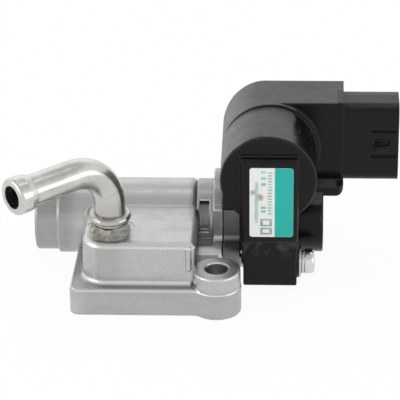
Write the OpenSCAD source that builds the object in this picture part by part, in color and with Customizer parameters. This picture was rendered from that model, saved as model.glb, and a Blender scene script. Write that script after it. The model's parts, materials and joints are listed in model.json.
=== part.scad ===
// Idle air control valve: rotary-solenoid type with a coolant-heated body.
// Millimetres. Z = 0 is the mounting face, the valve axis runs along X at Y = 0,
// and X = 0 is the centre of the front mounting bolt hole.

/* [Mounting plate] */
// Thickness of the mounting plate
plate_t = 8.3; // [7:0.1:9.5]
// Front edge of the plate, from the valve axis
plate_front = 35.1; // [34.6:0.1:36.5]
// Back edge of the plate, from the valve axis
plate_back = 16; // [14:0.5:20]
// Left edge of the plate, from the front bolt hole
plate_left = 41.9; // [41.4:0.1:43]
// Front bolt hole, distance from the valve axis
bolt_front = 30.4; // [29.8:0.1:31.4]
// Back bolt hole, distance from the valve axis
bolt_back = 18.5; // [17.5:0.5:22]
// Spacing of the two bolt holes along X
bolt_span = 34; // [31:0.5:36]
// Radius of the bolt holes (M6 clearance)
bolt_hole_r = 3.3; // [3.2:0.05:3.6]
// Radius of the bolt lugs
lug_r = 6.9; // [6.4:0.1:7.2]
// Height of the bolt lugs
lug_h = 12.9; // [11:0.1:14]

/* [Valve barrel] */
// Outer radius of the valve barrel
barrel_r = 11.1; // [10.7:0.1:11.6]
// Clear height between the mounting face and the barrel
barrel_lift = 2.6; // [2.2:0.1:3.2]
// Left end of the barrel, from the front bolt hole
barrel_end = 53.7; // [52:0.1:56]
// Length of the thinner collar at the barrel's left end
collar_len = 6.7; // [5:0.1:9]
// Radius of the valve bore
bore_r = 8; // [7.4:0.1:8.2]
// Radial running clearance of the rotary valve in its bore
valve_clear = 0.05; // [0.02:0.01:0.1]

/* [Coolant block] */
// Height of the coolant block above the mounting face
block_h = 21.1; // [20.5:0.1:21.8]
// Front face of the block, from the valve axis
block_front = 32; // [31.4:0.1:33]
// Left face of the block, from the front bolt hole
block_left = 38.4; // [37.8:0.1:39.2]
// Right face of the block, from the front bolt hole
block_right = 5.6; // [5.5:0.1:6.4]
// Radius of the block's front left corner
block_corner = 7; // [4:0.5:9]
// Height of the coolant chamber inside the block
chamber_h = 17.5; // [15:0.5:18.2]

/* [Hose pipe] */
// Outer radius of the hose pipe
pipe_r = 4.45; // [4.2:0.05:4.6]
// Wall thickness of the hose pipe
pipe_wall = 1.1; // [0.8:0.05:1.4]
// Height of the pipe's bent run above the mounting face
pipe_top = 42.9; // [42:0.1:46]
// Centreline radius of the pipe's bend
bend_r = 13; // [12:0.5:14.5]
// Direction of the hose end, degrees from the barrel axis towards the front
pipe_turn = 41; // [30:1:70]
// Length from the pipe's upright axis to its mouth
pipe_reach = 33.3; // [32:0.1:40]

/* [Motor] */
// Radius of the coil drum
drum_r = 13.8; // [13.7:0.1:14.2]
// Height of the drum axis above the valve axis
drum_lift = 21.6; // [21.2:0.1:22.2]
// Front face of the drum, from the valve axis
drum_front = 19.4; // [19:0.1:20]
// Front wall of the rear housing, behind the valve axis
case_front = 1.4; // [0.6:0.1:2]
// Back wall of the rear housing, behind the valve axis
case_back = 17.3; // [17:0.1:19]
// Height of the housing's flat top above the drum axis
case_rise = 14.6; // [14.3:0.1:15.6]
// Right wall of the housing, from the drum axis
case_reach = 21.4; // [21:0.1:23]
// Thickness of the motor base plate
base_t = 4.8; // [4.6:0.1:4.9]
// Radius of the round case over the rotor
rotor_case_r = 10.3; // [9.8:0.1:11]
// How far the rotor case stands out to the right of the leg
rotor_case_out = 7.3; // [7:0.1:8.4]
// Radius of the magnet rotor
magnet_r = 6.6; // [5.8:0.1:6.6]
// Air gap between the magnet rotor and the core
air_gap = 0.5; // [0.3:0.05:0.7]

/* [Connector] */
// Height of the connector shroud
shroud_h = 24.4; // [22:0.1:25.5]
// Depth of the connector shroud, front to back
shroud_d = 13.3; // [12:0.1:14.2]
// Length of the shroud beyond the housing
shroud_len = 16.2; // [14:0.1:20]
// Distance between neighbouring terminals
pin_pitch = 6; // [5:0.1:6.4]

/* [Hidden] */
$fn = 48;

eps = 0.01; // overlap that keeps a cut open
axis_h = barrel_r + barrel_lift; // height of the valve axis
collar_r = barrel_r - 0.9; // radius of the thinner collar

// Stations along X
barrel_right = -6.4; // right end of the round barrel
neck_right = -1.4; // right end of the slotted neck
neck_recess = [-5.46, -2.59]; // recess in the front of the neck
recess_floor = 9.4; // radius of the recess's floor
flange_right = 1.3; // right face of the body's motor flange
gasket_t = 0.3; // thickness of the gasket
gasket_rim = 1.4; // width of the gasket under the bore
base_left = flange_right + gasket_t; // left face of the base plate
base_right = base_left + base_t; // right face of the base plate
flange_r = 13.8; // radius of the round top of the motor flange
flat_front = 13.4; // flat front side of the motor flange
flat_top = axis_h + 8.9; // top of that flat side
ear_y = 17.3; // motor screws, distance from the valve axis
ear_z = 8.3; // motor screws, height
ear_r = 4.6; // radius of the screw ears
ear_left = -6; // left end of the ears on the body
ear_cove = 1.7; // fillet over the ears

// Plate, lugs and block
plate_slant = 2.2; // degrees by which the plate's left edge runs inward to the back
plate_edge = 1.15; // rounding of the plate's top edge
plate_corner = 3; // radius of the plate's corners in plan
lug_edge = 0.7; // rounding of the lugs' top edge
lug_foot_r = lug_r + 0.2; // radius of the plate round a lug
lug_cove = 5; // hollow between the plate's front edge and the lug
hole_lead = 0.3; // chamfer of the bolt holes
block_edge = 2; // rounding of the block's top edge
block_side = 1.7; // radius of the block's front right corner
web_h = lug_h - 1.2; // height of the webs beside the lugs
bead_r = 0.87; // bead at the block's front right edge
bead_x = -block_right - 2.25;
bead_y = -block_front - 0.2;

// Ports in the mounting face
port_half = 4; // half the width of the air ports
port_a = [-36, -27]; // inlet port along X
port_b = [-23, -14]; // outlet port along X
groove_d = 1.8; // depth of the seal grooves
groove_w = 2.2; // width of the seal grooves
seal_side = 0.1; // side play of a seal in its groove
air_ring = [-39, -9.4, -10.6, 9.4]; // outside of the air port groove
chamber = [-35, -29.5, -12, -15.5]; // coolant chamber in plan
water_ring = [-38.6, -33.2, -8.4, -11.8]; // outside of the coolant groove

// Hose pipe
pipe_x = -30.4;
pipe_y = -23.4;
pipe_in = pipe_r - pipe_wall; // inner radius of the pipe
pipe_foot = chamber_h; // bottom end of the pipe
spot_r = 7.5; // spot face round the pipe
spot_d = 0.2; // its depth
pipe_ring_r = 6.03; // outer radius of the ring on the pipe
pipe_ring_half = 1.2; // half its height
pipe_ring_z = block_h + 5; // height of the ring
neck_r = 4.8; // pipe between the sealant and the ring
seal_h = 3.2; // height of the sealant
seal_top_r = 5.4; // its radius at the top
seal_foot_r = 6.6; // its radius at the foot
hose_r = 5.4; // largest radius of the hose bead
hose_len = 5.6; // length of the hose bead
hose_flat = 3.6; // where its taper begins, from the mouth
hose_nose = 1.1; // rounding of the mouth
hose_step = 0.5; // step at the back of the bead

// Motor
drum_x = 14.63; // drum axis along X
drum_z = axis_h + drum_lift; // drum axis height
drum_edge = 0.3; // chamfer of the drum's front edge
corner_r = 13.65; // round corner of the rear housing
corner_x = drum_x + 0.17; // its centre
corner_z = drum_z + case_rise - corner_r;
collar_big = 14.8; // collar where the drum meets the rear housing
collar_t = 1.2; // its thickness
case_side = drum_x + case_reach; // right side of the rear housing
case_flare = 0.22; // how much wider the housing is at its back
case_low = drum_z - 10.1; // lower edge of the housing's front face
lip_t = 2.9; // thickness of the lip under the housing
lip_front = -3.4;
lip_right = case_side + 0.27;
lip_round = 1.9; // its lower right edge
lip_corner = 2.6; // its corners in plan
leg_left = 6.6;
leg_right = 23.2;
leg_out = 2.4; // how far the legs stand out from the drum
leg_edge = 1.15; // rounding of the legs' edges
leg_back = 9; // how far the legs reach towards the valve axis
leg_face = drum_front + leg_out; // outer faces of the legs
leg_top = drum_z + 7.65;
leg_low = 1.9; // lowest point of the legs
leg_step = 16.7; // height of the ledge across the legs
foot_in = 0.7; // how far the foot is set back below the ledge
foot_left = leg_left + 0.86;
foot_right = leg_right - 0.3;
case_end = leg_right + rotor_case_out; // right end of the rotor case
notch_turn = 24; // notch in the rotor case's rim, degrees above the front
notch_half = 1.25; // half its height
notch_d = 0.7; // its depth
chamber_r = magnet_r + air_gap; // rotor chamber
core_x = [9, 20.2]; // stack of the core along X
limb = [drum_z - 4.5, drum_z + 4.5]; // core limb through the coil
core_thick = 3.2; // legs of the core
core_wall = 1.1; // plastic over the legs of the core
shoe = [11, 20]; // pole shoes, heights above the mounting face
shoe_gap = 4; // half the gap between the shoes
bobbin_play = 2; // from each end of the bobbin to the core's leg
bobbin_len = 2 * (leg_face - core_wall - core_thick - bobbin_play);
bobbin_r = 11.9;
tube_r = 8.2;
wire_r = 11.5;
shaft_r = 2;
brg_r = 6.5;
brg_w = 5;
brg_x = [base_right - brg_w, 23.8]; // left faces of the two bearings
plug_x = brg_x[1] + brg_w + 0.2; // inner face of the rotor case's plug
plug_r = brg_r + 1.5;
race_out = 5.1;
race_in = 3.2;
ball_r = 1.05;
ball_ring = 4.15;
ball_play = 0.03;
magnet_x = [8.4, 20.4];
valve_x = [-25, -12.5];
valve_half = 34; // half the angle of the valve's closing sector
valve_rest = 32; // turn of the valve at rest, from closed
valve_hub = 3.4; // hub of the valve and of the stop lever
shaft_x = [-27, 28.7];
seal_x = [-7.5, -4.6]; // shaft seal along X
seal_r = 4.5; // its radius
spigot_x = -1.5; // left end of the base plate's spigot
stop_x = -4; // left end of the stop ring
stop_in = 4; // inner radius of the stop ring
stop_gap = 51; // half angle left free for the stop lever
lever_x = [-3.6, -1.8];
lever_half = 1.2; // half the lever's width
lever_len = 6.8;

// Screws
washer_x = 23.5; // screw seats
flat_t = 0.6; // flat washer
flat_r = 4.6;
spring_t = 1; // spring washer
spring_r = 3.6;
head_x = washer_x + flat_t + spring_t;
head_r = 3.6;
head_t = 3;
seat_r = 4.8;

// Connector
shroud_end = case_side + shroud_len; // mouth of the shroud
shroud_y = 8.6;
shroud_z = drum_z + 0.9;
shroud_r = 3.3; // corners of the shroud
shroud_wall = 1.6;
socket_deep = 11.5;
slot_x = [shroud_end - 8.1, shroud_end - 0.9]; // slots beside the lock
slot_d = 0.9;
lock_x = shroud_end - 7; // wedge of the lock
lock_len = 4.35;
lock_z = [shroud_z - 1.7, shroud_z - 0.2];
lock_out = 1; // how far the wedge stands out

// Shared helpers

// Cylinder along X between two stations
module xcyl(r, x0, x1, y = 0, z = axis_h) {
  translate([x0, y, z])
    rotate([0, 90, 0])
      cylinder(r = r, h = x1 - x0);
}

// Cylinder along Y between two stations
module ycyl(r, y0, y1, x = drum_x, z = drum_z) {
  translate([x, y1, z])
    rotate([90, 0, 0])
      cylinder(r = r, h = y1 - y0);
}

// Cylinder along Z between two heights
module zcyl(r, z0, z1, x, y) {
  translate([x, y, z0])
    cylinder(r = r, h = z1 - z0);
}

// Box between two corners
module box(a, b) {
  translate(a)
    cube([b[0] - a[0], b[1] - a[1], b[2] - a[2]]);
}

// The sliver outside a rounded corner, for the corner at the origin
module corner_cut(r) {
  difference() {
    translate([-eps, -eps])
      square([r + eps, r + eps]);
    translate([r, r])
      circle(r = r);
  }
}

// Rectangle with its own radius at each corner: low left, low right, high right, high left
module rrect(x0, y0, x1, y1, r) {
  difference() {
    translate([x0, y0])
      square([x1 - x0, y1 - y0]);
    if (r[0] > 0) translate([x0, y0]) corner_cut(r[0]);
    if (r[1] > 0) translate([x1, y0]) mirror([1, 0]) corner_cut(r[1]);
    if (r[2] > 0) translate([x1, y1]) mirror([1, 0]) mirror([0, 1]) corner_cut(r[2]);
    if (r[3] > 0) translate([x0, y1]) mirror([0, 1]) corner_cut(r[3]);
  }
}

// Turned disc along X with rounded end edges
module turned(r, x0, x1, e0, e1) {
  translate([x0, 0, axis_h])
    rotate([0, 90, 0])
      rotate_extrude()
        rrect(0, 0, r, x1 - x0, [0, e0, e1, 0]);
}

// Lay a drawing of the YZ plane along X
module along_x(x0, x1) {
  translate([x0, 0, 0])
    rotate([90, 0, 90])
      linear_extrude(height = x1 - x0)
        children();
}

// Lay a drawing of the XZ plane along Y
module along_y(y0, y1) {
  translate([0, y1, 0])
    rotate([90, 0, 0])
      linear_extrude(height = y1 - y0)
        children();
}

// Centre of the fillet circle between a circle at the origin and the line y = h, as distances.
// It cuts 0.02 into both, so that no edge is tangent.
function cove_at(big, h, rf) =
  [sqrt(pow(big + rf - 0.02, 2) - pow(h + rf - 0.02, 2)), h + rf - 0.02];

// Web under that fillet, on the left side
module cove_web(big, h, rf) {
  at = cove_at(big, h, rf);
  inner = (big - 0.15) / (big + rf - 0.02);
  polygon([[-at[0], h], [-at[0] * inner, at[1] * inner], [-at[0] * inner + 1, h - 1], [-at[0], h - 1]]);
}

// Fillet where a circle at the origin stands out past the line y = h, on the left side
module cove(big, h, rf) {
  at = cove_at(big, h, rf);
  difference() {
    cove_web(big, h, rf);
    translate([-at[0], at[1]])
      circle(r = rf);
  }
}

// Concave quarter profile
module fillet_2d(r) {
  difference() {
    square([r, r]);
    translate([r, r])
      circle(r = r);
  }
}

// Aluminium body

module plate_2d() {
  c = plate_corner;
  difference() {
    rrect(-plate_left, -plate_front, flange_right, plate_back, [c, 0, c - 1, c]);
    translate([0, -bolt_front])
      square([lug_r * 2, lug_r * 2]);
  }
  translate([-bolt_span - lug_r, plate_back - lug_r])
    square([lug_r * 2, bolt_back - plate_back + lug_r]);
  translate([0, -bolt_front])
    mirror([0, 1])
      cove_web(lug_foot_r, plate_front - bolt_front, lug_cove);
}

// Disc with a rounded top edge, on the mounting face
module disc(r, h, e, x, y) {
  translate([x, y, 0])
    rotate_extrude()
      rrect(0, 0, r, h, [0, 0, e, 0]);
}

// Mounting plate with a rounded top edge, its left side slanted
module plate_solid() {
  far = lug_r * 3;
  up = plate_front - bolt_front;
  start = cove_at(lug_foot_r, up, lug_cove);
  difference() {
    union() {
      intersection() {
        linear_extrude(height = plate_t)
          plate_2d();
        translate([-plate_left, -plate_front + plate_corner + 0.5, 0])
          rotate([0, 0, -plate_slant])
            along_y(-far, plate_back + plate_front + far)
              rrect(0, 0, plate_left + far, plate_t, [0, 0, 0, plate_edge]);
      }
      disc(lug_foot_r, plate_t, plate_edge, 0, -bolt_front);
      disc(lug_foot_r, plate_t, plate_edge, -bolt_span, bolt_back);
    }
    // rounding of the front edge
    translate([0, -plate_front, plate_t])
      along_x(-plate_left - 1, -start[0])
        mirror([0, 1])
          corner_cut(plate_edge);
    // hollow where the plate meets the front lug, with the same rounding
    translate([-start[0], -bolt_front - start[1], 0])
      rotate_extrude()
        difference() {
          translate([0, -1])
            square([lug_cove + plate_edge, plate_t + 2]);
          translate([lug_cove, -2])
            square([plate_edge + 1, plate_t - plate_edge + 2]);
          translate([lug_cove + plate_edge, plate_t - plate_edge])
            circle(r = plate_edge);
        }
  }
}

// Block with a round front left corner and a rounded top edge
module block_solid() {
  cx = -block_left + block_corner;
  cy = -block_front + block_corner;
  e = block_edge;
  intersection() {
    along_x(cx, -block_right)
      rrect(-block_front, 0, 0, block_h, [0, 0, 0, e]);
    linear_extrude(height = block_h)
      rrect(cx - 1, -block_front, -block_right, 0, [0, block_side, 0, 0]);
    along_y(-block_front, 0)
      rrect(cx - 1, 0, -block_right, block_h, [0, 0, e, 0]);
  }
  along_y(cy, 0)
    rrect(-block_left, 0, cx + 1, block_h, [0, 0, 0, e]);
  translate([cx, cy, 0])
    rotate([0, 0, 180])
      rotate_extrude(angle = 90)
        rrect(0, 0, block_corner, block_h, [0, 0, e, 0]);
}

// Bead at the block's front right edge
module bead() {
  low = lug_h + 0.8;
  high = block_h - 1.1;
  zcyl(bead_r, low, high, bead_x, bead_y);
  for (z = [low, high])
    translate([bead_x, bead_y, z])
      sphere(r = bead_r);
}

// Concave fillet where the block stands on the plate
module block_foot() {
  f = 1.4;
  cx = -block_left + block_corner;
  cy = -block_front + block_corner;
  translate([0, -block_front, plate_t])
    along_x(cx, -block_right - block_side)
      mirror([1, 0])
        fillet_2d(f);
  translate([-block_left, 0, plate_t])
    along_y(cy, -barrel_r + 2)
      mirror([1, 0])
        fillet_2d(f);
  translate([cx, cy, plate_t])
    rotate([0, 0, 180])
      rotate_extrude(angle = 90)
        translate([block_corner, 0])
          fillet_2d(f);
}

// Side view of the motor flange: round top, flat front, two screw ears
module flange_2d(top) {
  intersection() {
    union() {
      translate([0, axis_h])
        circle(r = flange_r);
      translate([-flat_front, ear_z])
        square([flat_front * 2, flat_top - ear_z]);
    }
    translate([-flat_front, barrel_lift])
      square([flat_front * 2, top - barrel_lift]);
  }
  for (s = [-1, 1]) {
    translate([s * ear_y, ear_z])
      circle(r = ear_r);
    translate([s < 0 ? -ear_y : 0, ear_z - ear_r])
      square([ear_y, ear_r * 2]);
  }
}

// Fillets over the screw ears
module ear_coves(x0, x1) {
  for (s = [0, 1])
    mirror([0, s, 0])
      translate([0, -flat_front, ear_z + ear_r])
        along_x(x0, x1)
          mirror([1, 0])
            fillet_2d(ear_cove);
}

module valve_body() {
  color([0.72, 0.73, 0.74]) {
    difference() {
      union() {
        plate_solid();
        disc(lug_r, lug_h, lug_edge, 0, -bolt_front);
        disc(lug_r, lug_h, lug_edge, -bolt_span, bolt_back);
        // webs that tie the lugs to the casting
        box([-block_right - 1, -bolt_front - 0.5, 0], [0, -ear_y, web_h]);
        box([-bolt_span - 4, barrel_r - 3, 0], [-bolt_span + 4, bolt_back, web_h]);
        block_solid();
        block_foot();
        bead();
        // fillet between the block's top and the barrel
        translate([0, 0, axis_h])
          along_x(-block_left + 3, -block_right - 3)
            cove(barrel_r, block_h - axis_h, 1.2);
        // barrel, collar and slotted neck
        turned(collar_r, -barrel_end, barrel_right - 2, 0.8, 0);
        turned(barrel_r, -barrel_end + collar_len, barrel_right, 0.5, 1.5);
        turned(barrel_r - 0.1, barrel_right, neck_right + eps, 0.6, 0);
        // filling between the barrel and the plate
        box([-plate_left + 2.2, -barrel_r + 2, 1], [flange_right, barrel_r - 2, axis_h]);
        // motor flange and screw ears
        along_x(neck_right, flange_right)
          flange_2d(axis_h + flange_r);
        for (s = [-1, 1]) {
          xcyl(ear_r, ear_left, flange_right, s * ear_y, ear_z);
          box([ear_left, min(s * ear_y, 0), 0], [flange_right, max(s * ear_y, 0), ear_z + ear_r - 1]);
        }
        ear_coves(neck_right, flange_right);
      }
      body_cuts();
    }
  }
}

module ring_2d(q, r, w) {
  difference() {
    rrect(q[0], q[1], q[2], q[3], [r, r, r, r]);
    rrect(q[0] + w, q[1] + w, q[2] - w, q[3] - w, [r - w, r - w, r - w, r - w]);
  }
}

module body_cuts() {
  // bolt holes with lead-in chamfers
  for (p = [[0, -bolt_front], [-bolt_span, bolt_back]]) {
    zcyl(bolt_hole_r, -1, lug_h + 1, p[0], p[1]);
    translate([p[0], p[1], lug_h - hole_lead])
      cylinder(r1 = bolt_hole_r, r2 = bolt_hole_r + hole_lead + eps, h = hole_lead + eps);
  }
  // valve bore, seal seat and spigot recess
  xcyl(bore_r, -barrel_end - 1, -9);
  xcyl(shaft_r + 1, -10, 0);
  xcyl(seal_r, seal_x[0], flange_right + 1);
  xcyl(bore_r, stop_x, flange_right + 1);
  // air ports
  for (q = [port_a, port_b])
    box([q[0], -port_half, -1], [q[1], port_half, axis_h]);
  // coolant chamber and pipe seat
  translate([0, 0, -1])
    linear_extrude(height = chamber_h + 1)
      rrect(chamber[0], chamber[1], chamber[2], chamber[3], [3, 3, 3, 3]);
  zcyl(pipe_r, chamber_h - 1, block_h + 1, pipe_x, pipe_y);
  // spot face round the pipe
  zcyl(spot_r, block_h - spot_d, block_h + 1, pipe_x, pipe_y);
  // seal grooves
  translate([0, 0, -1])
    linear_extrude(height = groove_d + 1)
      union() {
        ring_2d(air_ring, 4.5, groove_w);
        ring_2d(water_ring, 5, groove_w);
      }
  // recess in the front of the neck
  intersection() {
    box([neck_recess[0], -barrel_r - 1, axis_h + 0.4], [neck_recess[1], 0, axis_h + 8.5]);
    difference() {
      xcyl(barrel_r + 1, neck_recess[0] - 1, neck_recess[1] + 1);
      xcyl(recess_floor, neck_recess[0] - 2, neck_recess[1] + 2);
    }
  }
  // threaded holes of the motor screws
  for (s = [-1, 1])
    xcyl(shaft_r, ear_left + 1, flange_right + 1, s * ear_y, ear_z);
}

// Coolant pipe

module pipe_bead(r, half, z) {
  translate([0, 0, z])
    rotate_extrude()
      translate([r, 0])
        circle(r = half);
}

module hose_pipe() {
  turn = 90; // the run leaves the bend level
  run = pipe_reach - bend_r;
  color([0.80, 0.79, 0.76])
    translate([pipe_x, pipe_y, 0])
      rotate([0, 0, pipe_turn])
        union() {
          difference() {
            union() {
              cylinder(r = pipe_r, h = pipe_top - bend_r);
              translate([0, 0, block_h - spot_d + seal_h])
                cylinder(r = neck_r, h = pipe_ring_z - block_h + spot_d - seal_h);
              pipe_bead(pipe_ring_r - pipe_ring_half, pipe_ring_half, pipe_ring_z);
            }
            translate([0, 0, -1])
              cylinder(r = pipe_in, h = pipe_top + 1);
            translate([-pipe_r * 2, -pipe_r * 2, -1])
              cube([pipe_r * 4, pipe_r * 4, pipe_foot + 1]);
          }
          translate([-bend_r, 0, pipe_top - bend_r])
            rotate([90, 0, 0]) {
              rotate_extrude(angle = turn)
                translate([bend_r, 0])
                  difference() {
                    circle(r = pipe_r);
                    circle(r = pipe_in);
                  }
              rotate([0, 0, turn])
                translate([bend_r, 0, 0])
                  rotate([-90, 0, 0])
                    rotate_extrude()
                      hose_end_2d(run);
            }
        }
}

// Half section of the straight hose end, with the raised bead at its mouth
module hose_end_2d(run) {
  back = run - hose_len;
  difference() {
    union() {
      square([pipe_r, run - hose_nose - 0.1]);
      translate([0, run - hose_flat])
        rrect(0, 0, hose_r, hose_flat, [0, 0, hose_nose, 0]);
      polygon([[0, back], [pipe_r + hose_step, back], [hose_r, run - hose_flat], [0, run - hose_flat]]);
    }
    translate([-1, -1])
      square([pipe_in + 1, run + 2]);
  }
}

module pipe_sealant() {
  cove_r = seal_foot_r - seal_top_r;
  color([0.70, 0.69, 0.64])
    translate([pipe_x, pipe_y, block_h - spot_d])
      rotate_extrude()
        difference() {
          union() {
            square([seal_top_r, seal_h]);
            difference() {
              square([seal_foot_r, cove_r + 0.3]);
              translate([seal_foot_r, cove_r + 0.3])
                circle(r = cove_r + 0.05);
            }
          }
          translate([-1, -1])
            square([pipe_r + 1, seal_h + 2]);
        }
}

// Small pieces of the body

module bore_plug() {
  color([0.62, 0.63, 0.64])
    difference() {
      xcyl(bore_r, -barrel_end + 1, -barrel_end + 4);
      xcyl(bore_r - 1.2, -barrel_end, -barrel_end + 2.8);
    }
}

module air_port_seal() {
  color([0.10, 0.10, 0.10])
    linear_extrude(height = groove_d)
      ring_2d([air_ring[0] + seal_side, air_ring[1] + seal_side, air_ring[2] - seal_side,
               air_ring[3] - seal_side], 4.4, groove_w - 2 * seal_side);
}

module coolant_seal() {
  color([0.10, 0.10, 0.10])
    linear_extrude(height = groove_d)
      ring_2d([water_ring[0] + seal_side, water_ring[1] + seal_side, water_ring[2] - seal_side,
               water_ring[3] - seal_side], 4.9, groove_w - 2 * seal_side);
}

module base_gasket() {
  color([0.12, 0.12, 0.12])
    difference() {
      along_x(flange_right, base_left)
        intersection() {
          flange_2d(flat_top);
          translate([-flat_front + 0.5, axis_h - bore_r - gasket_rim])
            square([flat_front * 2 - 1, flat_top - 3]);
        }
      xcyl(bore_r + 0.05, flange_right - 1, base_left + 1);
      for (s = [-1, 1])
        xcyl(shaft_r + 0.3, 0, base_left + 1, s * ear_y, ear_z);
    }
}

// Motor pieces

module motor_base_plate() {
  far = bore_r * 3;
  color([0.70, 0.71, 0.72])
    difference() {
      union() {
        along_x(base_left, base_right)
          flange_2d(flat_top);
        ear_coves(base_left, base_right);
        xcyl(bore_r, spigot_x, base_left + 1);
        // ring that stops the lever at both ends of its travel
        difference() {
          xcyl(bore_r, stop_x, spigot_x + 0.1);
          xcyl(stop_in, stop_x - 1, 0);
          translate([stop_x - 1, 0, axis_h])
            rotate([90, 0, 90])
              linear_extrude(height = -stop_x + 1)
                polygon([[0, 0], [-far * sin(stop_gap), far * cos(stop_gap)], [0, far],
                         [far * sin(stop_gap), far * cos(stop_gap)]]);
        }
      }
      xcyl(brg_r, brg_x[0], base_right + 1);
      xcyl(shaft_r + 1.2, stop_x - 1, base_right);
      for (s = [-1, 1])
        xcyl(shaft_r + 0.2, 0, base_right + 1, s * ear_y, ear_z);
    }
}

// Front view of the rear housing
module case_2d() {
  translate([corner_x, corner_z])
    circle(r = corner_r);
  translate([corner_x, case_low])
    square([case_reach + 4, drum_z + case_rise - case_low]);
  translate([drum_x, drum_z])
    circle(r = drum_r);
}

// One leg: frame with rounded edges and the narrower foot below it
module leg() {
  face = leg_face;
  e = leg_edge;
  foot = face - foot_in;
  // rounded frame around the label
  intersection() {
    along_y(-face, -leg_back)
      rrect(leg_left, leg_step, leg_right, leg_top, [0, 0, 1, 1]);
    along_x(leg_left, leg_right)
      rrect(-face, leg_step, -leg_back, leg_top, [0, 0, 0, e]);
    linear_extrude(height = leg_top)
      rrect(leg_left, -face, leg_right, -leg_back, [e, e, 0, 0]);
  }
  // lower part, set back a little
  intersection() {
    along_y(-foot, -leg_back)
      union() {
        rrect(leg_left + 0.3, 9, foot_right, leg_step + 1, [1.2, 0, 0, 0]);
        rrect(foot_left, leg_low, foot_right, 12, [1, 1, 0, 0]);
      }
    along_x(leg_left, leg_right)
      rrect(-foot, leg_low, -leg_back, leg_step + 1, [0.8, 0, 0, 0]);
  }
}

// Rear housing, a little wider towards its back, with the lip below it
module rear_case() {
  intersection() {
    along_y(case_front, case_back)
      case_2d();
    linear_extrude(height = drum_z + case_rise + 1)
      polygon([[-5, case_front], [case_side, case_front],
               [case_side + case_flare, case_back], [-5, case_back]]);
    along_x(-5, case_side + 5)
      rrect(case_front, 0, case_back, drum_z + case_rise, [0, 0, 0.8, 0.4]);
  }
  // collar where the drum meets it
  intersection() {
    ycyl(collar_big, case_front - collar_t, case_front + 1);
    along_y(case_front - 2, case_front + 2)
      case_2d();
  }
  intersection() {
    translate([0, 0, case_low - lip_t])
      linear_extrude(height = lip_t)
        rrect(leg_right, lip_front, lip_right, case_back - 2, [0, lip_corner, lip_corner, 0]);
    along_y(lip_front - 1, case_back)
      rrect(leg_left, case_low - lip_t, lip_right, case_low + 1, [0, lip_round, 0, 0]);
  }
}

module coil_housing() {
  deep = drum_front + case_front + 1;
  color([0.13, 0.13, 0.135])
    difference() {
      union() {
        // drum with a chamfered front edge
        translate([drum_x, case_front + 1, drum_z])
          rotate([90, 0, 0])
            rotate_extrude()
              polygon([[0, 0], [drum_r, 0], [drum_r, deep - drum_edge],
                       [drum_r - drum_edge, deep], [0, deep]]);
        rear_case();
        // skirt under the drum and filling between the legs
        box([base_left + 0.1, -drum_front, drum_z - 9.6], [leg_right, case_back, drum_z]);
        box([leg_left, case_front + 2, drum_z - 12], [case_side - 1, case_back - 2, drum_z]);
        box([leg_left + 0.1, -leg_back, leg_low + 2], [leg_right, leg_back, drum_z]);
        leg();
        mirror([0, 1, 0])
          leg();
        // round case over the rotor
        turned(rotor_case_r, base_right, case_end, 0, 0.5);
        // screw seats
        for (s = [-1, 1])
          xcyl(seat_r, foot_right - 0.3, washer_x, s * ear_y, ear_z);
        connector_shroud();
      }
      housing_cuts();
    }
}

module shroud_2d(inset) {
  r = shroud_r - inset;
  rrect(shroud_y - shroud_d / 2 + inset, shroud_z - shroud_h / 2 + inset,
        shroud_y + shroud_d / 2 - inset, shroud_z + shroud_h / 2 - inset, [r, r, r, r]);
}

module connector_shroud() {
  front = shroud_y - shroud_d / 2;
  difference() {
    along_x(case_side - 3, shroud_end)
      shroud_2d(0);
    // slots either side of the lock, thin above and wide below
    box([slot_x[0], front - 1, shroud_z + 4], [slot_x[1], front + slot_d, shroud_z + 4.9]);
    box([slot_x[0], front - 1, shroud_z - 4.1], [slot_x[1], front + slot_d, shroud_z - 2.7]);
    // pocket over the lock
    box([lock_x, front - 1, lock_z[1] - 0.1], [lock_x + lock_len, front + slot_d, shroud_z + 1.8]);
  }
  // wedge of the lock
  translate([lock_x, front, lock_z[0]])
    linear_extrude(height = lock_z[1] - lock_z[0])
      polygon([[0, 1], [0, -lock_out], [1, -lock_out], [lock_len, 0], [lock_len, 1]]);
}

module housing_cuts() {
  // connector socket
  along_x(shroud_end - socket_deep, shroud_end + 1)
    shroud_2d(shroud_wall);
  // coil, core and terminals
  ycyl(bobbin_r, -bobbin_len / 2, bobbin_len / 2);
  core_solid();
  for (i = [-1, 0, 1])
    terminal(i);
  // rotor chamber, bearing seat and plug seat
  xcyl(chamber_r, base_right - 1, brg_x[1] - 1);
  xcyl(brg_r, brg_x[1] - 2, plug_x + eps);
  xcyl(plug_r, plug_x, case_end + 1);
  // screw holes
  for (s = [-1, 1])
    xcyl(shaft_r + 0.3, base_right - 1, washer_x + 1, s * ear_y, ear_z);
  // notch in the rim of the rotor case
  translate([0, 0, axis_h])
    rotate([-notch_turn, 0, 0])
      box([case_end - notch_d, -rotor_case_r - 1, -notch_half],
          [case_end + 1, -plug_r - 0.5, notch_half]);
}

module rotor_case_plug() {
  color([0.16, 0.16, 0.165])
    xcyl(plug_r, plug_x, case_end - 0.6);
}

// Core seen from the side: limb through the coil, two legs and two pole shoes
module core_2d() {
  reach = leg_face - core_wall;
  difference() {
    union() {
      translate([-reach, limb[0]])
        square([reach * 2, limb[1] - limb[0]]);
      for (s = [0, 1])
        mirror([s, 0]) {
          translate([-reach, shoe[0]])
            square([core_thick, limb[1] - shoe[0]]);
          translate([-reach, shoe[0]])
            square([reach - shoe_gap, shoe[1] - shoe[0]]);
        }
    }
    translate([0, axis_h])
      circle(r = chamber_r);
    translate([-shoe_gap - eps, 0])
      square([(shoe_gap + eps) * 2, limb[0] - 2]);
  }
}

module core_solid() {
  along_x(core_x[0], core_x[1])
    core_2d();
}

module core_laminations() {
  color([0.40, 0.41, 0.43])
    core_solid();
}

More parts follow.
